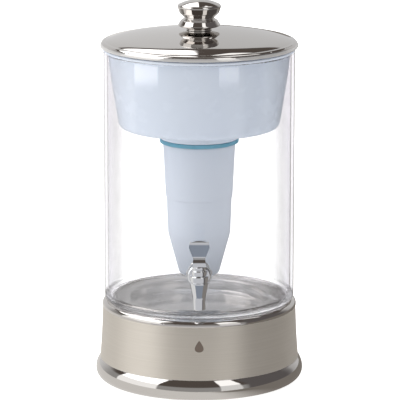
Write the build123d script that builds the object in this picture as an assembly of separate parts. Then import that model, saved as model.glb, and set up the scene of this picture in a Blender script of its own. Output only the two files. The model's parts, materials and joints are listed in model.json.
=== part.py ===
from build123d import *
import math
import os

# Countertop water dispenser: a glass jar on a spun steel base, with a drop-in reservoir that carries
# a filter cartridge, a steel lid and a chrome spigot. Millimetres, +Z up. The origin is the centre of
# the foot ring's underside, on the counter, and the spigot points along -Y.

# Driving dimensions.
JAR_R = 109.8  # outside of the glass
GLASS = 4.0  # jar wall
JAR_HEEL_Z = 94.3  # flat underside of the jar wall
JAR_FOOT_Z = 91.3  # underside of the raised foot disc
JAR_FLOOR_Z = 98.8  # inside floor of the jar
JAR_RIM_Z = 385.9
SHEET = 0.8  # steel sheet of the base, the pan and the lid
BASE_R = 120.5  # widest part of the bottom bead
BEAD_TOP_Z = 93.8  # crown of the base's top bead
FOOT_H = 4.2  # height of the rubber foot ring
LID_R = 113.4
LID_APEX_Z = 409.3
LID_EDGE_Z = 390.6
FLANGE_R = 110.3  # reservoir flange that hangs on the jar's rim
FLANGE_Z = (386.2, 389.4)
BOWL_FLOOR_Z = (297.3, 299.8)  # underside and top of the reservoir floor
WELL_R = 45.5  # outside of the sump that the cartridge screws into
WELL_Z = (284.0, 286.5)  # underside and top of the sump floor
NECK_R = 38.2  # cartridge neck
SHOULDER_Z = 278.9  # cartridge shoulder under the gasket
SEAM_Z = 215.1  # joint between the two halves of the cartridge
TIP_Z = 122.9  # lowest point of the cartridge
SHANK_Z = 147.6  # height of the spigot's shank and of the hole in the glass
SPOUT_Y = -145.0  # vertical axis of the spigot
GLASS_HOLE_R = 8.5
STEM_R = 3.0
BONNET_TOP_Z = 166.5
LEVER_TOP_Z = 197.5
KNOB_TOP_Z = 443.9
LEVER_PULL = 35.0  # degrees the lever tips forward
STEM_LIFT = 3.25  # rise of the valve stem over that pull

CLEAR = 0.3  # between pieces that come apart
FIT = 0.05  # between fixed pieces and on running shafts

JAR_INNER_R = JAR_R - GLASS
FULCRUM_Y = SPOUT_Y - 7.0  # front edge of the lever's foot, which it tips about
PIN_Z = BONNET_TOP_Z + 4.2
PIN_R = 1.5


def turned(points, radii=None):
    """A solid of revolution about Z. The points run round its half section, as (radius, height)."""
    radii = radii or [0] * (len(points) - 2)
    outline = FilletPolyline(*points, radius=radii)
    closing = Line(outline @ 1, outline @ 0)
    return revolve(Plane.XZ * make_face([outline, closing]), Axis.Z)


def inner_points(points, thickness):
    """The points of a line drawn at the sheet's thickness to the right of the line through points."""
    vectors = [Vector(*p) for p in points]
    headings = [(b - a).normalized() for a, b in zip(vectors, vectors[1:])]
    sides = [Vector(h.Y, -h.X) for h in headings]
    moved = [vectors[0] + sides[0] * thickness]
    for point, before, after in zip(vectors[1:], sides, sides[1:]):
        mitre = (before + after) * (thickness / (1 + before.dot(after)))
        moved.append(point + mitre)
    moved.append(vectors[-1] + sides[-1] * thickness)
    turns = [a.X * b.Y - a.Y * b.X for a, b in zip(headings, headings[1:])]
    return moved, turns


def spun(points, radii, thickness=SHEET):
    """A spun sheet shell: points run along its outer face with the sheet on their right."""
    moved, turns = inner_points(points, thickness)
    inner_radii = [max(r + math.copysign(thickness, t), 0.05) for r, t in zip(radii, turns)]
    outer = FilletPolyline(*points, radius=radii)
    inner = FilletPolyline(*moved, radius=inner_radii)
    ends = [Line(outer @ 0, inner @ 0), Line(outer @ 1, inner @ 1)]
    return revolve(Plane.XZ * make_face([outer, inner, *ends]), Axis.Z)


def ring(inner_r, outer_r, low, high, rounding=0.0):
    """A flat ring about Z with its outer corners rounded."""
    section = Pos((inner_r + outer_r) / 2, (low + high) / 2) * Rectangle(outer_r - inner_r, high - low)
    if rounding:
        corners = section.vertices().sort_by(Axis.X)[-2:]
        section = fillet(corners, rounding)
    return revolve(Plane.XZ * section, Axis.Z)


def rod(radius, start, end):
    """A round rod from one point to another."""
    start, end = Vector(*start), Vector(*end)
    along = Plane(origin=start, z_dir=end - start)
    return extrude(along * Circle(radius), (end - start).length)


# ---------------------------------------------------------------- base

BEAD_CREASE_Z = 25.25
BAND_TOP_Z = 86.4
LIP_R = 100.5
SHELL_HEM_R = 102.0
SHELL_HEM_Z = 1.2


def base_shell():
    outline = [
        (LIP_R, 85.0),
        (LIP_R, BEAD_TOP_Z - 0.6),
        (105.0, BEAD_TOP_Z + 0.5),
        (112.6, BEAD_TOP_Z - 0.6),
        (112.6, 87.2),
        (112.1, BAND_TOP_Z),
        (113.6, 50.0),
        (115.5, BEAD_CREASE_Z),
        (BASE_R, 19.4),
        (BASE_R, SHELL_HEM_Z),
        (SHELL_HEM_R, SHELL_HEM_Z),
    ]
    return spun(outline, [2.0, 12.0, 5.4, 0.5, 0.5, 600.0, 0.4, 20.0, 10.6])


def foot_ring():
    whole = ring(98.0, 107.0, 0.0, FOOT_H, 0.5)
    slot = ring(
        SHELL_HEM_R - FIT,
        108.0,
        SHELL_HEM_Z - FIT,
        SHELL_HEM_Z + SHEET + FIT,
    )
    return whole - slot


PAN_LEDGE_Z = 91.0
PAN_FLOOR_Z = 76.0


def support_pan():
    outline = [
        (0.0, PAN_FLOOR_Z),
        (78.6, PAN_FLOOR_Z),
        (80.0, PAN_LEDGE_Z),
        (LIP_R - FIT, PAN_LEDGE_Z),
        (LIP_R - FIT, 83.0),
    ]
    return spun(outline, [4.0, 2.2, 2.0])


# ---------------------------------------------------------------- jar

def glass_jar():
    section = [
        (0.0, JAR_FOOT_Z),
        (96.5, JAR_FOOT_Z),
        (96.5, JAR_HEEL_Z),
        (JAR_R, JAR_HEEL_Z),
        (JAR_R, JAR_RIM_Z),
        (JAR_INNER_R, JAR_RIM_Z),
        (JAR_INNER_R, JAR_FLOOR_Z),
        (0.0, JAR_FLOOR_Z),
    ]
    jar = turned(section, [1.2, 0.8, 5.5, 1.7, 1.7, 7.0])
    return jar - rod(GLASS_HOLE_R, (0, -JAR_R - 5, SHANK_Z), (0, -JAR_INNER_R + 5, SHANK_Z))


# ---------------------------------------------------------------- spigot

SHANK_R = 7.9
FLANGE_BACK_Y = -112.8
FLANGE_FRONT_Y = -116.3
SHANK_END_Y = -93.0
NUT_BACK_Y = -102.4
NUT_FRONT_Y = -96.4
PASSAGE_R = 4.5
CHAMBER_R = 6.6
SEAT_Z = 137.0
LEDGE_Z = 149.0
BODY_TOP_Z = 155.9
COLLAR_R = 10.35
SPOUT_TIP_Z = 116.5
MOUTH_R = 7.6
OUTLET_R = 5.0


def spout_axis(shape):
    """Moves a shape turned about Z to the spigot's vertical axis."""
    return Pos(0, SPOUT_Y, 0) * shape


def jar_cylinder(radius):
    """The full height of the jar's wall as a solid cylinder, for cutting the gaskets to its curve."""
    return Pos(0, 0, SHANK_Z) * Cylinder(radius, 60)


def outer_gasket():
    disc = rod(14.5, (0, -105, SHANK_Z), (0, FLANGE_BACK_Y + FIT, SHANK_Z))
    hole = rod(SHANK_R + 0.4, (0, -100, SHANK_Z), (0, -120, SHANK_Z))
    return disc - hole - jar_cylinder(JAR_R + FIT)


def inner_gasket():
    disc = rod(13.0, (0, -110, SHANK_Z), (0, NUT_BACK_Y - FIT, SHANK_Z))
    hole = rod(SHANK_R + 0.4, (0, -120, SHANK_Z), (0, -90, SHANK_Z))
    return (disc - hole) & jar_cylinder(JAR_INNER_R - FIT)


def shank_nut():
    hexagon = Plane(origin=(0, NUT_BACK_Y, SHANK_Z), x_dir=(1, 0, 0), z_dir=(0, 1, 0))
    thickness = NUT_FRONT_Y - NUT_BACK_Y
    blank = extrude(hexagon * RegularPolygon(15.0, 6), thickness)
    rounded = hexagon * Pos(0, 0, thickness / 2) * Cylinder(14.6, thickness)
    rounded = chamfer(rounded.edges(), 0.9)
    return (blank & rounded) - rod(SHANK_R + FIT, (0, -110, SHANK_Z), (0, -90, SHANK_Z))


def spigot_body():
    spout = [
        (0.0, SPOUT_TIP_Z),
        (6.85, SPOUT_TIP_Z),
        (7.2, 130.5),
        (COLLAR_R, 146.6),
        (COLLAR_R, 148.0),
        (9.6, 148.2),
        (9.6, 148.9),
        (COLLAR_R, 149.1),
        (COLLAR_R, BODY_TOP_Z),
        (0.0, BODY_TOP_Z),
    ]
    body = spout_axis(turned(spout, [0.9, 14.0, 3.0, 0, 0, 0, 0.4, 1.2]))
    neck = Plane(origin=(0, SPOUT_Y, SHANK_Z), x_dir=(1, 0, 0), z_dir=(0, 1, 0))
    reach = FLANGE_FRONT_Y - SPOUT_Y
    body += extrude(neck * Circle(7.4), reach, taper=-3)
    flange = rod(13.0, (0, FLANGE_FRONT_Y, SHANK_Z), (0, FLANGE_BACK_Y, SHANK_Z))
    body += chamfer(flange.edges().sort_by(Axis.Y)[0], 1.2)
    shank = rod(SHANK_R, (0, FLANGE_BACK_Y, SHANK_Z), (0, SHANK_END_Y, SHANK_Z))
    body += chamfer(shank.edges().sort_by(Axis.Y)[-1], 0.8)
    body -= rod(OUTLET_R, (0, SPOUT_Y, SPOUT_TIP_Z), (0, SPOUT_Y, SEAT_Z - 1.4))
    body -= rod(OUTLET_R - 0.7, (0, SPOUT_Y, SPOUT_TIP_Z), (0, SPOUT_Y, SEAT_Z))
    body -= rod(CHAMBER_R, (0, SPOUT_Y, SEAT_Z), (0, SPOUT_Y, BODY_TOP_Z))
    body -= rod(MOUTH_R, (0, SPOUT_Y, LEDGE_Z), (0, SPOUT_Y, BODY_TOP_Z))
    return body - rod(PASSAGE_R, (0, SPOUT_Y + 3, SHANK_Z - 0.6), (0, SHANK_END_Y + 1, SHANK_Z - 0.6))


def bonnet_seal():
    return spout_axis(ring(CHAMBER_R + 0.1, MOUTH_R - 0.1, LEDGE_Z + FIT, 150.8, 0.2))


def spigot_bonnet():
    section = [
        (STEM_R + FIT, BONNET_TOP_Z),
        (7.2, BONNET_TOP_Z),
        (7.8, BONNET_TOP_Z - 0.7),
        (7.8, 163.2),
        (7.3, 162.7),
        (7.3, 161.9),
        (8.2, 161.2),
        (8.2, BODY_TOP_Z + 0.1),
        (MOUTH_R - 0.1, BODY_TOP_Z + 0.1),
        (MOUTH_R - 0.1, 150.85),
        (5.5, 150.85),
        (5.5, 156.4),
        (STEM_R + FIT, 156.4),
    ]
    return spout_axis(turned(section, [0.4, 0.4, 0.2, 0.2, 0.2, 0.6, 0.3, 0, 0, 0, 0.3]))


def valve_stem():
    section = [
        (0.0, 139.2),
        (2.0, 139.2),
        (2.0, 143.0),
        (5.3, 143.0),
        (5.3, 144.6),
        (STEM_R, 144.6),
        (STEM_R, BONNET_TOP_Z + 7.2),
        (0.0, BONNET_TOP_Z + 7.2),
    ]
    stem = spout_axis(turned(section, [0, 0, 0.3, 0.3, 0.3, 0.6]))
    return stem - rod(PIN_R, (-6, SPOUT_Y, PIN_Z), (6, SPOUT_Y, PIN_Z))


def seat_plug():
    section = [
        (0.0, SEAT_Z + 0.1),
        (5.9, SEAT_Z + 0.1),
        (5.9, 142.9),
        (2.05, 142.9),
        (2.05, 139.1),
        (0.0, 139.1),
    ]
    return spout_axis(turned(section, [0.8, 0.8, 0, 0]))


SPRING_WIRE_R = 0.4
SPRING_Z = (145.2, 155.8)


def valve_spring():
    rise = SPRING_Z[1] - SPRING_Z[0]
    coil = Helix(pitch=rise / 5, height=rise, radius=4.4)
    section = Plane(origin=coil @ 0, z_dir=coil % 0) * Circle(SPRING_WIRE_R)
    return Pos(0, SPOUT_Y, SPRING_Z[0]) * sweep(section, coil)


def lever_pin():
    pin = rod(PIN_R, (-6.6, SPOUT_Y, PIN_Z), (6.6, SPOUT_Y, PIN_Z))
    return chamfer(pin.edges(), 0.3)


def lever_frame_slot():
    """The hole in the lever's cheeks that its pin slides along as the lever tips about its front edge."""
    pull = math.radians(LEVER_PULL)
    away, up = SPOUT_Y - FULCRUM_Y, PIN_Z - BONNET_TOP_Z + STEM_LIFT
    end_y = away * math.cos(pull) + up * math.sin(pull)
    end_z = up * math.cos(pull) - away * math.sin(pull)
    start = Vector(SPOUT_Y, PIN_Z)
    end = Vector(FULCRUM_Y + end_y, BONNET_TOP_Z + end_z)
    slot = SlotCenterPoint((start + end) * 0.5, end, 2 * (PIN_R + 0.55))
    return extrude(Plane.YZ * slot, 12, both=True)


def spigot_lever():
    foot_z = BONNET_TOP_Z + CLEAR
    front = [
        (-7.2, foot_z),
        (-7.2, 171.0),
        (-6.6, 175.5),
        (-11.6, 189.5),
        (-10.6, LEVER_TOP_Z - 2.2),
        (0.0, LEVER_TOP_Z + 0.6),
        (10.6, LEVER_TOP_Z - 2.2),
        (11.6, 189.5),
        (6.6, 175.5),
        (7.2, 171.0),
        (7.2, foot_z),
    ]
    face = FilletPolyline(*front, radius=[3, 8, 5, 2.6, 30, 2.6, 5, 8, 3])
    front_view = Plane.XZ * make_face([face, Line(face @ 1, face @ 0)])
    broad = extrude(front_view, -SPOUT_Y + 20)
    side = [
        (FULCRUM_Y, foot_z),
        (FULCRUM_Y, 171.5),
        (FULCRUM_Y + 2.2, 176.5),
        (FULCRUM_Y - 1.6, 192.0),
        (FULCRUM_Y - 2.2, LEVER_TOP_Z + 1.0),
        (FULCRUM_Y + 5.6, LEVER_TOP_Z + 1.0),
        (FULCRUM_Y + 5.6, 190.0),
        (FULCRUM_Y + 10.2, 179.5),
        (FULCRUM_Y + 14.0, 176.0),
        (FULCRUM_Y + 14.0, foot_z),
    ]
    edge = FilletPolyline(*side, radius=[2, 8, 20, 3.4, 3.4, 14, 6, 1.2])
    side_view = Plane.YZ * make_face([edge, Line(edge @ 1, edge @ 0)])
    lever = broad & extrude(side_view, 14, both=True)
    pocket = Box(2 * (STEM_R + 0.5), 14, 8.2, align=(Align.CENTER, Align.MIN, Align.MIN))
    lever -= Pos(0, SPOUT_Y - STEM_R - 0.5, foot_z - 0.4) * pocket
    return lever - lever_frame_slot()


# ---------------------------------------------------------------- reservoir

BOWL_WALL = 2.5
COLLAR_TOP_Z = 291.5


def reservoir():
    collar_r = NECK_R + CLEAR + 0.1
    section = [
        (collar_r, WELL_Z[0]),
        (WELL_R, WELL_Z[0]),
        (WELL_R, BOWL_FLOOR_Z[0]),
        (92.0, BOWL_FLOOR_Z[0]),
        (103.0, 367.0),
        (104.2, FLANGE_Z[0]),
        (FLANGE_R, FLANGE_Z[0]),
        (FLANGE_R, FLANGE_Z[1]),
        (101.6, FLANGE_Z[1]),
        (103.0 - BOWL_WALL, 367.0),
        (89.5, BOWL_FLOOR_Z[1]),
        (WELL_R - BOWL_WALL, BOWL_FLOOR_Z[1]),
        (WELL_R - BOWL_WALL, WELL_Z[1]),
        (collar_r + 2.2, WELL_Z[1]),
        (collar_r + 2.2, COLLAR_TOP_Z),
        (collar_r, COLLAR_TOP_Z),
    ]
    radii = [1.2, 1.0, 8.0, 250, 0.8, 0.8, 1.0, 1.2, 250, 5.5, 1.2, 0.8, 0.8, 0.8]
    return turned(section, radii)


def filter_gasket():
    return ring(NECK_R + CLEAR, WELL_R + 0.1, SHOULDER_Z + CLEAR, WELL_Z[0] - CLEAR, 1.2)


# ---------------------------------------------------------------- filter cartridge

NECK_TOP_Z = 293.5
NECK_BORE_R = 36.0
SPIGOT_TOP_Z = SEAM_Z + 7.7  # the lower half's rim, inside the upper half


def filter_upper_housing():
    section = [
        (NECK_BORE_R, NECK_TOP_Z),
        (NECK_R, NECK_TOP_Z),
        (NECK_R, SHOULDER_Z),
        (41.9, SHOULDER_Z),
        (41.2, 268.9),
        (38.6, SEAM_Z + 0.15),
        (36.5, SEAM_Z + 0.15),
        (36.5, SPIGOT_TOP_Z + 0.4),
        (39.1, 268.0),
        (39.1, 275.0),
        (NECK_BORE_R, 277.6),
    ]
    return turned(section, [0.6, 0.6, 1.4, 120, 0.5, 0, 0.4, 60, 1.5])


def filter_lower_housing():
    section = [
        (0.0, TIP_Z),
        (22.6, TIP_Z),
        (36.2, 173.0),
        (37.7, SEAM_Z),
        (36.4, SEAM_Z),
        (36.4, SPIGOT_TOP_Z),
        (34.4, SPIGOT_TOP_Z),
        (34.2, 173.4),
        (20.6, TIP_Z + 2),
        (0.0, TIP_Z + 2),
    ]
    shell = turned(section, [6.5, 28, 0.3, 0, 0.3, 0.3, 26, 4.5])
    outlet = Pos(0, 0, TIP_Z) * Cylinder(2.4, 10)
    holes = [Rot(0, 0, 45 * i) * Pos(11, 0, 0) * outlet for i in range(8)]
    return shell - [outlet, *holes]


def filter_top_cap():
    section = [
        (0.0, NECK_TOP_Z + FIT),
        (33.9, NECK_TOP_Z + FIT),
        (33.9, 288.4),
        (NECK_BORE_R - FIT, 288.4),
        (NECK_BORE_R - FIT, NECK_TOP_Z + FIT),
        (NECK_R - 0.2, NECK_TOP_Z + FIT),
        (NECK_R - 0.2, NECK_TOP_Z + 2.1),
        (0.0, NECK_TOP_Z + 2.1),
    ]
    cap = turned(section, [0.3, 0.3, 0.3, 0, 0.4, 0.9])
    slot = Pos(22, 0, NECK_TOP_Z) * extrude(SlotOverall(20, 2.4), 4)
    return cap - [Rot(0, 0, 15 * i) * slot for i in range(24)]


def inlet_screen():
    return ring(0.0, NECK_BORE_R - 0.2, 287.2, 288.3, 0.3)


def foam_disc():
    return turned([(0.0, 262.3), (38.3, 262.3), (38.9, 268.0), (38.9, 272.0), (0.0, 272.0)])


def carbon_bed():
    rim = SPIGOT_TOP_Z + 0.4
    section = [
        (0.0, rim - 0.7),
        (34.2, rim - 0.7),
        (34.2, rim),
        (36.3, rim),
        (38.2, 262.0),
        (0.0, 262.0),
    ]
    return turned(section)


def resin_bed():
    return turned([(0.0, 131.3), (21.9, 131.3), (33.7, 173.8), (33.9, 222.3), (0.0, 222.3)])


def nonwoven_pad():
    return turned([(0.0, 126.4), (17.8, 126.4), (21.5, 131.0), (0.0, 131.0)])


def outlet_screen():
    return ring(0.0, 16.4, TIP_Z + 2.1, 126.2, 0.3)


# ---------------------------------------------------------------- lid

DOME_R = 458.0
SCREW_R = 2.45


def lid_shell():
    outline = [
        (3.1, LID_APEX_Z),
        (55.0, LID_APEX_Z),
        (111.4, 396.5),
        (LID_R, 392.5),
        (LID_R, LID_EDGE_Z),
        (111.4, LID_EDGE_Z),
    ]
    return spun(outline, [DOME_R, 4.4, 3.5, 1.0])


def lid_locating_ring():
    section = [
        (99.0, 380.5),
        (100.6, 380.5),
        (100.6, FLANGE_Z[1] + CLEAR),
        (107.6, FLANGE_Z[1] + CLEAR),
        (107.6, 396.3),
        (105.4, 396.3),
        (105.4, FLANGE_Z[1] + 2.6),
        (99.0, FLANGE_Z[1] + 2.6),
    ]
    return turned(section, [0.5, 0.5, 0.5, 0.5, 0.5, 0.5])


def lid_knob():
    section = [
        (0.0, KNOB_TOP_Z),
        (13.1, KNOB_TOP_Z),
        (25.6, 437.8),
        (22.7, 429.2),
        (16.6, 423.4),
        (21.1, 420.4),
        (24.9, 414.4),
        (14.7, 411.2),
        (14.7, LID_APEX_Z + 0.1),
        (0.0, LID_APEX_Z + 0.1),
    ]
    knob = turned(section, [46, 3.0, 3.0, 0.9, 1.2, 1.5, 0.6, 0.3])
    return knob - rod(SCREW_R + FIT, (0, 0, LID_APEX_Z), (0, 0, LID_APEX_Z + 14))


def knob_washer():
    sheet_z = LID_APEX_Z - SHEET
    return ring(SCREW_R + 0.15, 7.0, sheet_z - 1.05, sheet_z - FIT, 0.2)


def knob_screw():
    head_z = LID_APEX_Z - SHEET - 1.1
    section = [
        (0.0, head_z - 3.0),
        (4.6, head_z - 3.0),
        (4.6, head_z),
        (SCREW_R, head_z),
        (SCREW_R, LID_APEX_Z + 13),
        (0.0, LID_APEX_Z + 13),
    ]
    screw = turned(section, [1.6, 0.2, 0, 0.6])
    cross = Box(5.0, 1.1, 3.6) + Box(1.1, 5.0, 3.6)
    return screw - Pos(0, 0, head_z - 3.0) * cross


PIECES = [
    base_shell,
    foot_ring,
    support_pan,
    glass_jar,
    outer_gasket,
    inner_gasket,
    shank_nut,
    spigot_body,
    bonnet_seal,
    spigot_bonnet,
    valve_stem,
    seat_plug,
    valve_spring,
    lever_pin,
    spigot_lever,
    reservoir,
    filter_gasket,
    filter_upper_housing,
    filter_lower_housing,
    filter_top_cap,
    inlet_screen,
    foam_disc,
    carbon_bed,
    resin_bed,
    nonwoven_pad,
    outlet_screen,
    lid_shell,
    lid_locating_ring,
    lid_knob,
    knob_washer,
    knob_screw,
]

os.makedirs("parts", exist_ok=True)
for piece in PIECES:
    export_step(piece(), f"parts/{piece.__name__}.step")
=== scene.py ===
import json
import math

import bpy
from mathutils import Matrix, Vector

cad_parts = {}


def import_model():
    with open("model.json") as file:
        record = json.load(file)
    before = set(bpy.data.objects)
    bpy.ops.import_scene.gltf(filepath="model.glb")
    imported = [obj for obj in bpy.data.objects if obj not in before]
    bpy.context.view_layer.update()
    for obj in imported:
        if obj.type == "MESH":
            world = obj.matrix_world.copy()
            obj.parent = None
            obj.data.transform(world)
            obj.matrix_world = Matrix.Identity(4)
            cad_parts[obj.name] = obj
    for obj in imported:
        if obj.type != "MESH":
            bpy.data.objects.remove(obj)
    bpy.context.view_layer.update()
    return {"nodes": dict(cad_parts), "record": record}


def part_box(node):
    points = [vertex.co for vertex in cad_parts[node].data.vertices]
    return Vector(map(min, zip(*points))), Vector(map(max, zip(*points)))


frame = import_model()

MM = 0.001
nodes = frame["nodes"]
scene = bpy.context.scene
scene.view_settings.view_transform = "Standard"


# ------------------------------------------------------------------ node helpers

class Shader:
    """A node tree with short calls for adding and joining nodes."""

    def __init__(self, tree):
        self.tree = tree
        self.tree.nodes.clear()

    def add(self, kind, inputs=None, **settings):
        node = self.tree.nodes.new("ShaderNode" + kind)
        for key, value in settings.items():
            setattr(node, key, value)
        for key, value in (inputs or {}).items():
            self.put(value, node.inputs[key])
        return node

    def put(self, value, socket):
        if isinstance(value, bpy.types.NodeSocket):
            self.tree.links.new(value, socket)
        elif isinstance(value, bpy.types.Node):
            self.tree.links.new(value.outputs[0], socket)
        else:
            socket.default_value = value

    def math(self, operation, a, b=0.0, clamp=False):
        return self.add("Math", {0: a, 1: b}, operation=operation, use_clamp=clamp).outputs[0]

    def ramp(self, value, low, high, to_low=0.0, to_high=1.0, smooth=True):
        """Value mapped from low..high to to_low..to_high and held there outside."""
        kind = "SMOOTHSTEP" if smooth else "LINEAR"
        ends = {"From Min": low, "From Max": high, "To Min": to_low, "To Max": to_high}
        return self.add("MapRange", {"Value": value, **ends}, interpolation_type=kind).outputs[0]

    def mix(self, factor, a, b):
        node = self.add("Mix", data_type="RGBA")
        self.put(factor, node.inputs[0])
        self.put(a, node.inputs[6])
        self.put(b, node.inputs[7])
        return node.outputs[2]

    def noise(self, vector, scale, detail=2.0, roughness=0.5):
        inputs = {"Vector": vector, "Scale": scale, "Detail": detail, "Roughness": roughness}
        return self.add("TexNoise", inputs).outputs["Fac"]

    def place(self, scale=(1, 1, 1)):
        """The surface's own place in the row frame, in metres, stretched by scale."""
        where = self.add("TexCoord").outputs["Object"]
        return self.add("Mapping", {"Vector": where, "Scale": scale}).outputs[0]

    def mirrored(self):
        """1 for rays that have bounced off a shiny surface, 0 for those that only passed through glass."""
        path = self.add("LightPath").outputs
        bounced = self.math("GREATER_THAN", path["Glossy Depth"], 0.5)
        return self.math("MULTIPLY", path["Is Glossy Ray"], bounced)

    def bump(self, height, distance, strength=1.0):
        inputs = {"Height": height, "Distance": distance, "Strength": strength}
        return self.add("Bump", inputs).outputs[0]


def colour(r, g, b):
    return (r, g, b, 1.0)


def material(name):
    made = bpy.data.materials.new(name)
    made.use_nodes = True
    return made, Shader(made.node_tree)


def finish_with(shader, surface):
    shader.add("OutputMaterial", {"Surface": surface})


# ------------------------------------------------------------------ materials

STEEL = colour(0.66, 0.635, 0.61)
SATIN = colour(0.70, 0.655, 0.59)
# Painted shade for the glass's edges.
GLASS_SHADE = colour(0.88, 0.875, 0.895)
# Painted shade for the glass high on its back wall.
BACK_SHADE = colour(0.92, 0.912, 0.935)
GLASS_IOR, SILICONE_IOR = 1.52, 1.41
QUARTER_TURN = 0.25  # turns the brushing's highlights up and down
SHEEN_SHARE = 0.28  # the part of the satin band that scatters light like a matt surface

# Heights of the finest marks in the surfaces.
HAIRLINE = 0.004 * MM
BRUSHING = 0.01 * MM
GRAIN = 0.01 * MM
POLISH_WAVE = 0.02 * MM
RIPPLE = 0.03 * MM
RUBBER_GRAIN = 0.04 * MM

# Sizes of the filter's weave, cells and grains.
SCREEN_PITCH = 0.4 * MM
FOAM_CELL = 0.8 * MM
CARBON_GRAIN = 1.2 * MM
RESIN_BEAD = 0.7 * MM

# The lid's roll and lip, by radius from the lid's edge inwards.
LID_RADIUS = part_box("lid_shell")[1][0]
ROLL_START = LID_RADIUS - 28.4 * MM
ROLL_END = LID_RADIUS - 6.4 * MM
ROLL_RATE = 228.0  # drop in metres, per cubic metre past ROLL_START
LIP_START = LID_RADIUS - 1.4 * MM
LIP_BLEND = 0.8 * MM
# The lip's matt share is partly its finish and partly painted light that makes the lip lighter.
LIP_MATT_AND_LIGHT = 0.6

# The satin band and the mark on it, by height below the base's top.
BASE_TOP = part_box("base_shell")[1][2]
BAND_HIGH = BASE_TOP - 7.49 * MM
BAND_LOW = BASE_TOP - 68.59 * MM
BAND_EDGE = 0.3 * MM
MARK_HEIGHT = BASE_TOP - 28.09 * MM
MARK_HALF = 8.0 * MM
MARK_WIDTH = 0.24
MARK_EDGE = 0.03
FRONT_FADE = 10.0 * MM

# The jar's floor and the painted shade on its back wall, by height above the jar's bottom.
JAR_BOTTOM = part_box("glass_jar")[0][2]
JAR_FLOOR = JAR_BOTTOM + 5.7 * MM
FLOOR_BLEND = 6.0 * MM
SHADE_LOW = JAR_BOTTOM + 98.7 * MM
SHADE_HIGH = JAR_BOTTOM + 238.7 * MM
BACK_FADE = 20.0 * MM


def smudges(s, scale, low, high):
    """Faint uneven roughness, as left by polishing and handling."""
    return s.ramp(s.noise(s.place(), scale, 4.0), 0.35, 0.65, low, high)


def lid_steel():
    """Polished steel. The dome's gentle roll towards its edge is only a bump, not in the mesh."""
    made, s = material("lid_steel_finish")
    where = s.add("SeparateXYZ", {0: s.add("TexCoord").outputs["Object"]}).outputs
    x, y = where["X"], where["Y"]
    radius = s.math("SQRT", s.math("ADD", s.math("MULTIPLY", x, x), s.math("MULTIPLY", y, y)))
    past = s.ramp(radius, ROLL_START, ROLL_END, 0.0, ROLL_END - ROLL_START, smooth=False)
    drop = s.math("MULTIPLY", s.math("POWER", past, 3.0), -ROLL_RATE)
    inputs = {
        "Base Color": STEEL,
        "Metallic": 1.0,
        "Roughness": smudges(s, 60.0, 0.02, 0.05),
        "Normal": s.bump(drop, 1.0),
    }
    top = s.add("BsdfPrincipled", inputs)
    # The matt lip is partly a finish and partly painted light, lighter than the polished steel around it.
    lip = s.add("BsdfDiffuse", {"Color": colour(0.66, 0.65, 0.64)})
    matt_and_lightened_lip = s.ramp(radius, LIP_START, LIP_START + LIP_BLEND, 0.0, LIP_MATT_AND_LIGHT)
    finish_with(s, s.add("MixShader", {0: matt_and_lightened_lip, 1: top.outputs[0], 2: lip.outputs[0]}))
    return made


def polished_steel(name, tint=STEEL, rough=(0.03, 0.06)):
    made, s = material(name)
    hairlines = s.noise(s.place((40, 40, 1400)), 1.0, 2.0)
    inputs = {
        "Base Color": tint,
        "Metallic": 1.0,
        "Roughness": smudges(s, 60.0, *rough),
        "Normal": s.bump(hairlines, HAIRLINE),
    }
    finish_with(s, s.add("BsdfPrincipled", inputs))
    return made


def droplet(s):
    """1 inside a plain water drop etched on the front of the band, 0 elsewhere."""
    x, y, z = s.add("SeparateXYZ", {0: s.add("TexCoord").outputs["Object"]}).outputs
    up = s.math("DIVIDE", s.math("SUBTRACT", z, MARK_HEIGHT), MARK_HALF)
    out = s.math("DIVIDE", x, MARK_HALF)
    rounded = s.math("SUBTRACT", 1.0, s.math("MULTIPLY", up, up))
    taper = s.math("SUBTRACT", 1.0, up)
    width = s.math("MULTIPLY", rounded, s.math("MULTIPLY", taper, taper))
    inside = s.math("SUBTRACT", s.math("MULTIPLY", width, MARK_WIDTH), s.math("MULTIPLY", out, out))
    return s.math("MULTIPLY", s.ramp(inside, 0.0, MARK_EDGE), s.ramp(y, 0.0, -FRONT_FADE))


def base_steel():
    """Two polished beads with a satin band between them, brushed round the base."""
    made, s = material("base_steel_finish")
    height = s.add("SeparateXYZ", {0: s.add("TexCoord").outputs["Object"]}).outputs["Z"]
    above = s.ramp(height, BAND_LOW - BAND_EDGE, BAND_LOW + BAND_EDGE)
    below = s.ramp(height, BAND_HIGH + BAND_EDGE, BAND_HIGH - BAND_EDGE)
    band = s.math("MULTIPLY", above, below)
    strokes = s.noise(s.place((5, 5, 2600)), 1.0, 3.0, 0.6)
    streaks = s.noise(s.place((9, 9, 700)), 1.0, 3.0, 0.6)
    satin_colour = s.mix(s.ramp(streaks, 0.3, 0.7), colour(0.67, 0.625, 0.56), SATIN)
    brushed = s.add(
        "BsdfPrincipled",
        {
            "Base Color": satin_colour,
            "Metallic": 1.0,
            "Roughness": s.ramp(strokes, 0.3, 0.7, 0.50, 0.56),
            "Anisotropic": 0.8,
            "Anisotropic Rotation": QUARTER_TURN,
            "Tangent": s.add("Tangent", direction_type="RADIAL", axis="Z").outputs[0],
            "Normal": s.bump(strokes, BRUSHING, 0.6),
        },
    )
    bead = s.add(
        "BsdfPrincipled",
        {
            "Base Color": STEEL,
            "Metallic": 1.0,
            "Roughness": smudges(s, 60.0, 0.03, 0.06),
        },
    )
    sheen = s.add("BsdfDiffuse", {"Color": s.mix(0.25, satin_colour, colour(0, 0, 0))})
    satin = s.add("MixShader", {0: SHEEN_SHARE, 1: brushed.outputs[0], 2: sheen.outputs[0]})
    etched = s.add("BsdfPrincipled", {"Base Color": colour(0.12, 0.09, 0.07), "Roughness": streaks})
    marked = s.add("MixShader", {0: droplet(s), 1: satin.outputs[0], 2: etched.outputs[0]})
    finish_with(s, s.add("MixShader", {0: band, 1: bead.outputs[0], 2: marked.outputs[0]}))
    return made


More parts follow.
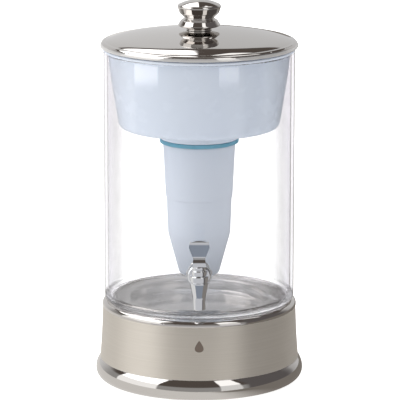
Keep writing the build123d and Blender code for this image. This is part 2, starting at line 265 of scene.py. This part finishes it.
def jar_glass():
    """Clear glass, with painted shade at its edges and high on its back wall."""
    made, s = material("jar_glass_finish")
    ripple = s.noise(s.place((14, 14, 5)), 1.0, 2.0)
    facing = s.add("LayerWeight", {"Blend": 0.5}).outputs["Facing"]
    where = s.add("SeparateXYZ", {0: s.place()}).outputs
    depth, height = where["Y"], where["Z"]
    # Painted shade at the glass's edges, where the surface turns away.
    clear = s.mix(s.ramp(facing, 0.3, 0.95), colour(0.995, 0.995, 0.998), GLASS_SHADE)
    # Painted shade high on the back wall, where the backdrop shows through the glass.
    painted_back_shade = s.math("MULTIPLY", s.ramp(height, SHADE_LOW, SHADE_HIGH), s.ramp(depth, 0.0, BACK_FADE))
    # The tint carries both painted shades: at the glass's edges and high on its back wall.
    tint = s.mix(painted_back_shade, clear, BACK_SHADE)
    glass = s.add(
        "BsdfPrincipled",
        {
            "Base Color": tint,
            "Roughness": 0.0,
            "IOR": GLASS_IOR,
            "Transmission Weight": 1.0,
            "Normal": s.bump(ripple, RIPPLE),
        },
    )
    veil = s.add("BsdfTransparent", {"Color": tint})
    wall = s.ramp(height, JAR_FLOOR, JAR_FLOOR + FLOOR_BLEND)
    turned = s.math("MULTIPLY", s.ramp(facing, 0.3, 0.72, 0.0, 0.75), s.ramp(facing, 0.93, 0.84))
    veiled = s.math("MULTIPLY", turned, wall)
    body = s.add("MixShader", {0: veiled, 1: glass.outputs[0], 2: veil.outputs[0]})
    path = s.add("LightPath")
    passing = s.math("MAXIMUM", path.outputs["Is Shadow Ray"], path.outputs["Is Diffuse Ray"])
    open_path = s.add("BsdfTransparent", {"Color": colour(0.94, 0.95, 0.96)})
    finish_with(s, s.add("MixShader", {0: passing, 1: body.outputs[0], 2: open_path.outputs[0]}))
    return made


def chrome(name):
    made, s = material(name)
    inputs = {
        "Base Color": colour(0.80, 0.81, 0.83),
        "Metallic": 1.0,
        "Roughness": smudges(s, 240.0, 0.03, 0.07),
        "Normal": s.bump(s.noise(s.place(), 90.0, 2.0), POLISH_WAVE),
    }
    finish_with(s, s.add("BsdfPrincipled", inputs))
    return made


def moulded(name, tint, deep, rough=0.35, glow=0.3, coat=0.0):
    """Moulded plastic or silicone that lets some light through."""
    made, s = material(name)
    flow = s.noise(s.place((9, 9, 3)), 1.0, 3.0)
    tone = s.mix(s.ramp(flow, 0.35, 0.65), tint, deep)
    skin = s.add(
        "BsdfPrincipled",
        {
            "Base Color": tone,
            "Roughness": smudges(s, 50.0, rough * 0.85, rough * 1.15),
            "Coat Weight": coat,
            "Coat Roughness": 0.05,
            "Normal": s.bump(s.noise(s.place(), 1400.0, 2.0), GRAIN),
        },
    )
    through = s.add("BsdfTranslucent", {"Color": tone})
    finish_with(s, s.add("MixShader", {0: glow, 1: skin.outputs[0], 2: through.outputs[0]}))
    return made


def rubber(name, tint):
    made, s = material(name)
    inputs = {
        "Base Color": tint,
        "Roughness": smudges(s, 90.0, 0.5, 0.7),
        "Normal": s.bump(s.noise(s.place(), 900.0, 3.0), RUBBER_GRAIN),
    }
    finish_with(s, s.add("BsdfPrincipled", inputs))
    return made


def clear_silicone():
    made, s = material("clear_silicone_finish")
    skin = s.add(
        "BsdfPrincipled",
        {
            "Base Color": colour(0.86, 0.88, 0.90),
            "Roughness": smudges(s, 120.0, 0.12, 0.25),
            "Transmission Weight": 0.8,
            "IOR": SILICONE_IOR,
        },
    )
    finish_with(s, skin)
    return made


def granules(name, dark, light, size):
    made, s = material(name)
    cells = s.add("TexVoronoi", {"Vector": s.place(), "Scale": 1 / size})
    tone = s.mix(s.ramp(cells.outputs["Color"], 0.0, 1.0, smooth=False), dark, light)
    inputs = {
        "Base Color": tone,
        "Roughness": 0.75,
        "Normal": s.bump(s.ramp(cells.outputs["Distance"], 0.0, 0.6), size * 0.3),
    }
    finish_with(s, s.add("BsdfPrincipled", inputs))
    return made


def cloth(name, tint, shade, pitch):
    made, s = material(name)
    squares = {"Vector": s.place(), "Scale": 1 / pitch, "Color1": tint, "Color2": shade}
    weave = s.add("TexChecker", squares)
    inputs = {
        "Base Color": weave.outputs["Color"],
        "Roughness": 0.85,
        "Normal": s.bump(weave.outputs["Fac"], pitch * 0.2),
    }
    finish_with(s, s.add("BsdfPrincipled", inputs))
    return made


def finishes():
    """One material for each of the record's material slots."""
    return {
        "base_steel": base_steel(),
        "pan_steel": polished_steel("pan_steel_finish", rough=(0.06, 0.12)),
        "foot_rubber": rubber("foot_rubber_finish", colour(0.03, 0.03, 0.03)),
        "jar_glass": jar_glass(),
        "clear_silicone": clear_silicone(),
        "nut_steel": polished_steel("nut_steel_finish", rough=(0.15, 0.25)),
        "spigot_chrome": chrome("spigot_chrome_finish"),
        "black_rubber": rubber("black_rubber_finish", colour(0.02, 0.02, 0.02)),
        "stem_plastic": moulded("stem_plastic_finish", colour(0.8, 0.8, 0.78), colour(0.74, 0.74, 0.72)),
        "seat_silicone": moulded("seat_silicone_finish", colour(0.7, 0.71, 0.72), colour(0.62, 0.63, 0.64)),
        "spring_steel": polished_steel("spring_steel_finish", rough=(0.1, 0.2)),
        "reservoir_plastic": moulded(
            "reservoir_plastic_finish",
            colour(0.87, 0.92, 1.0),
            colour(0.84, 0.895, 0.99),
            rough=0.25,
            glow=0.25,
            coat=0.4,
        ),
        "blue_silicone": moulded(
            "blue_silicone_finish", colour(0.16, 0.48, 0.62), colour(0.13, 0.43, 0.58), 0.3, 0.3
        ),
        "filter_plastic": moulded(
            "filter_plastic_finish", colour(0.74, 0.78, 0.86), colour(0.71, 0.75, 0.83), 0.38, 0.15
        ),
        "screen_cloth": cloth(
            "screen_cloth_finish", colour(0.8, 0.81, 0.82), colour(0.6, 0.61, 0.62), SCREEN_PITCH
        ),
        "filter_foam": granules(
            "filter_foam_finish", colour(0.6, 0.6, 0.56), colour(0.8, 0.8, 0.76), FOAM_CELL
        ),
        "carbon_granules": granules(
            "carbon_granules_finish", colour(0.01, 0.01, 0.01), colour(0.05, 0.05, 0.05), CARBON_GRAIN
        ),
        "resin_beads": granules(
            "resin_beads_finish", colour(0.3, 0.18, 0.06), colour(0.55, 0.38, 0.17), RESIN_BEAD
        ),
        "lid_steel": lid_steel(),
        "ring_plastic": moulded("ring_plastic_finish", colour(0.82, 0.84, 0.87), colour(0.78, 0.8, 0.84)),
        "knob_steel": polished_steel("knob_steel_finish"),
    }


def dress_frame(looks):
    """Gives every CAD node the finish of its slot in the record."""
    for part in frame["record"]["subparts"]:
        node = nodes[part["node"]]
        node.data.materials.clear()
        node.data.materials.append(looks[part["material_slot"]])


# ------------------------------------------------------------------ studio

DARK = colour(0.105, 0.088, 0.078)
LIGHT = colour(2.4, 2.4, 2.42)
TABLE_FRONT = -0.27  # the pale table ends here, towards the camera
TABLE_REACH = 9.0
# The table's reflection carries painted shade, darker to the right.
TABLE_DIM_FROM, TABLE_DIM_TO = 20.0 * MM, 100.0 * MM  # its reflection darkens between these, to the right

# Bearings, levels and soft edges of the lights, in degrees.
LEFT_LIGHT = (-103.0, -48.0)
RIGHT_LIGHT = (24.0, 49.0)
TABLE_LINE = (-10.3, -8.6)
LIGHT_EDGE, LINE_EDGE = 2.5, 0.3

# What matt surfaces see: brighter to the left and above.
SOFT_LEVEL, SOFT_ACROSS, SOFT_UP = 0.90, -0.46, 0.26


class Studio(Shader):
    """The room that polished surfaces reflect, drawn by bearing and height above the horizon.

    Bearing is 0 towards the camera and positive to its right, and both are in degrees.
    """

    def look(self, direction):
        x, y, z = self.add("SeparateXYZ", {0: direction}).outputs
        self.bearing = self.math("DEGREES", self.math("ARCTAN2", x, self.math("MULTIPLY", y, -1.0)))
        self.level = self.math("DEGREES", self.math("ARCSINE", z))

    def between(self, value, low, high, soft):
        rise = self.ramp(value, low - soft / 2, low + soft / 2)
        fall = self.ramp(value, high + soft / 2, high - soft / 2)
        return self.math("MULTIPLY", rise, fall)

    def panel(self, below, left, right, low, high, tint, soft=4.0):
        """Lays a panel with soft edges over the room drawn so far."""
        across = self.between(self.bearing, left, right, soft)
        up = self.between(self.level, low, high, soft)
        return self.mix(self.math("MULTIPLY", across, up), below, tint)

    def wall_behind(self, below):
        """The pale backdrop, lit a little more on the left, up to the height the lid reflects."""
        turned = self.math("ABSOLUTE", self.bearing)
        facing = self.ramp(turned, 112.0, 150.0)
        left_side = self.ramp(self.bearing, 60.0, -60.0)
        pale = self.mix(left_side, colour(0.63, 0.63, 0.635), colour(0.71, 0.71, 0.715))
        up = self.ramp(self.level, 31.4, 29.8)
        return self.mix(self.math("MULTIPLY", facing, up), below, pale)


def reflected_studio(s, direction):
    """What polished surfaces see: a dim room, a pale backdrop and tall soft lights."""
    s.look(direction)
    seen = s.mix(s.ramp(s.level, 24.0, 16.0), DARK, colour(0.36, 0.355, 0.35))
    seen = s.mix(s.ramp(s.level, -8.0, -14.0), seen, colour(0.60, 0.60, 0.62))
    seen = s.mix(s.ramp(s.level, -24.0, -34.0), seen, colour(0.26, 0.29, 0.34))
    seen = s.mix(s.ramp(s.level, 66.0, 74.0), seen, colour(0.20, 0.19, 0.18))
    seen = s.panel(seen, 56.0, 128.0, -20.0, 58.0, colour(0.13, 0.12, 0.12), 8.0)
    seen = s.wall_behind(seen)
    seen = s.panel(seen, -179.0, -110.0, 35.0, 62.0, LIGHT, 2.0)
    seen = s.panel(seen, 120.0, 166.0, 52.0, 70.0, colour(1.5, 1.5, 1.5), 3.0)
    seen = s.panel(seen, *RIGHT_LIGHT, -9.0, 26.0, colour(0.9, 0.9, 0.9), LIGHT_EDGE)
    seen = s.panel(seen, *RIGHT_LIGHT, 26.0, 58.0, colour(1.5, 1.5, 1.5), LIGHT_EDGE)
    seen = s.panel(seen, *RIGHT_LIGHT, *TABLE_LINE, colour(1.9, 1.9, 1.95), LINE_EDGE)
    seen = s.panel(seen, *LEFT_LIGHT, -9.0, 24.0, colour(1.25, 1.25, 1.25), LIGHT_EDGE)
    seen = s.panel(seen, *LEFT_LIGHT, 24.0, 62.0, LIGHT, LIGHT_EDGE)
    return s.panel(seen, -103.0, -51.0, *TABLE_LINE, colour(2.9, 2.85, 2.9), LINE_EDGE)


def world():
    """A white room. Shiny surfaces reflect the studio and matt ones get its soft light."""
    made = bpy.data.worlds.new("studio")
    made.use_nodes = True
    s = Studio(made.node_tree)
    direction = s.add("TexCoord").outputs["Generated"]
    direction = s.add("VectorMath", {0: direction}, operation="NORMALIZE").outputs[0]
    where = s.add("SeparateXYZ", {0: direction}).outputs
    across = s.math("MULTIPLY", where["X"], SOFT_ACROSS)
    up = s.math("MULTIPLY", where["Z"], SOFT_UP)
    strength = s.math("ADD", s.math("ADD", across, up), SOFT_LEVEL)
    soft = s.add("CombineColor", {0: strength, 1: strength, 2: strength}).outputs[0]
    seen = s.mix(s.mirrored(), colour(1.0, 1.0, 1.0), reflected_studio(s, direction))
    seen = s.mix(s.add("LightPath").outputs["Is Diffuse Ray"], seen, soft)
    s.add("OutputWorld", {"Surface": s.add("Background", {"Color": seen, "Strength": 1.0})})
    scene.world = made


def table():
    """The pale table top that the foot ring stands on."""
    mesh = bpy.data.meshes.new("table")
    corners = [
        (-TABLE_REACH, TABLE_FRONT, 0),
        (TABLE_REACH, TABLE_FRONT, 0),
        (TABLE_REACH, TABLE_REACH, 0),
        (-TABLE_REACH, TABLE_REACH, 0),
    ]
    mesh.from_pydata(corners, [], [(0, 1, 2, 3)])
    top = bpy.data.objects.new("table", mesh)
    scene.collection.objects.link(top)
    made, s = material("table_finish")
    where = s.add("TexCoord").outputs["Object"]
    across = s.add("SeparateXYZ", {0: where}).outputs["X"]
    matt = s.add("BsdfDiffuse", {"Color": colour(0.9, 0.9, 0.9)})
    lift = s.add("Emission", {"Color": colour(1, 1, 1), "Strength": 0.8})
    lit = s.add("AddShader", {0: matt.outputs[0], 1: lift.outputs[0]})
    # Painted shade: the table as mirrors see it darkens to the right.
    painted_shade_right = s.ramp(across, TABLE_DIM_FROM, TABLE_DIM_TO)
    dim = s.mix(painted_shade_right, colour(0.80, 0.785, 0.765), colour(0.24, 0.22, 0.20))
    reflection = s.add("Emission", {"Color": dim, "Strength": 1.0})
    finish_with(s, s.add("MixShader", {0: s.mirrored(), 1: lit.outputs[0], 2: reflection.outputs[0]}))
    mesh.materials.append(made)


# ------------------------------------------------------------------ camera

# Solved from the outlines in the photo. Places are in metres; the lens and sensor are in millimetres.
CAMERA_DISTANCE = 3.56646
CAMERA_PITCH = math.radians(12.466)
AIM_HEIGHT = 0.20985
LENS = 277.42
SENSOR = 36.0
SHIFT_X = 0.002
FAR_CLIP = 50.0


def camera():
    data = bpy.data.cameras.new("camera")
    data.lens = LENS
    data.sensor_width = SENSOR
    data.shift_x = SHIFT_X
    data.clip_end = FAR_CLIP
    view = bpy.data.objects.new("camera", data)
    scene.collection.objects.link(view)
    back, up = math.cos(CAMERA_PITCH), math.sin(CAMERA_PITCH)
    view.location = (0.0, -CAMERA_DISTANCE * back, AIM_HEIGHT + CAMERA_DISTANCE * up)
    view.rotation_euler = (math.pi / 2 - CAMERA_PITCH, 0.0, 0.0)
    scene.camera = view


camera()
world()
table()
dress_frame(finishes())
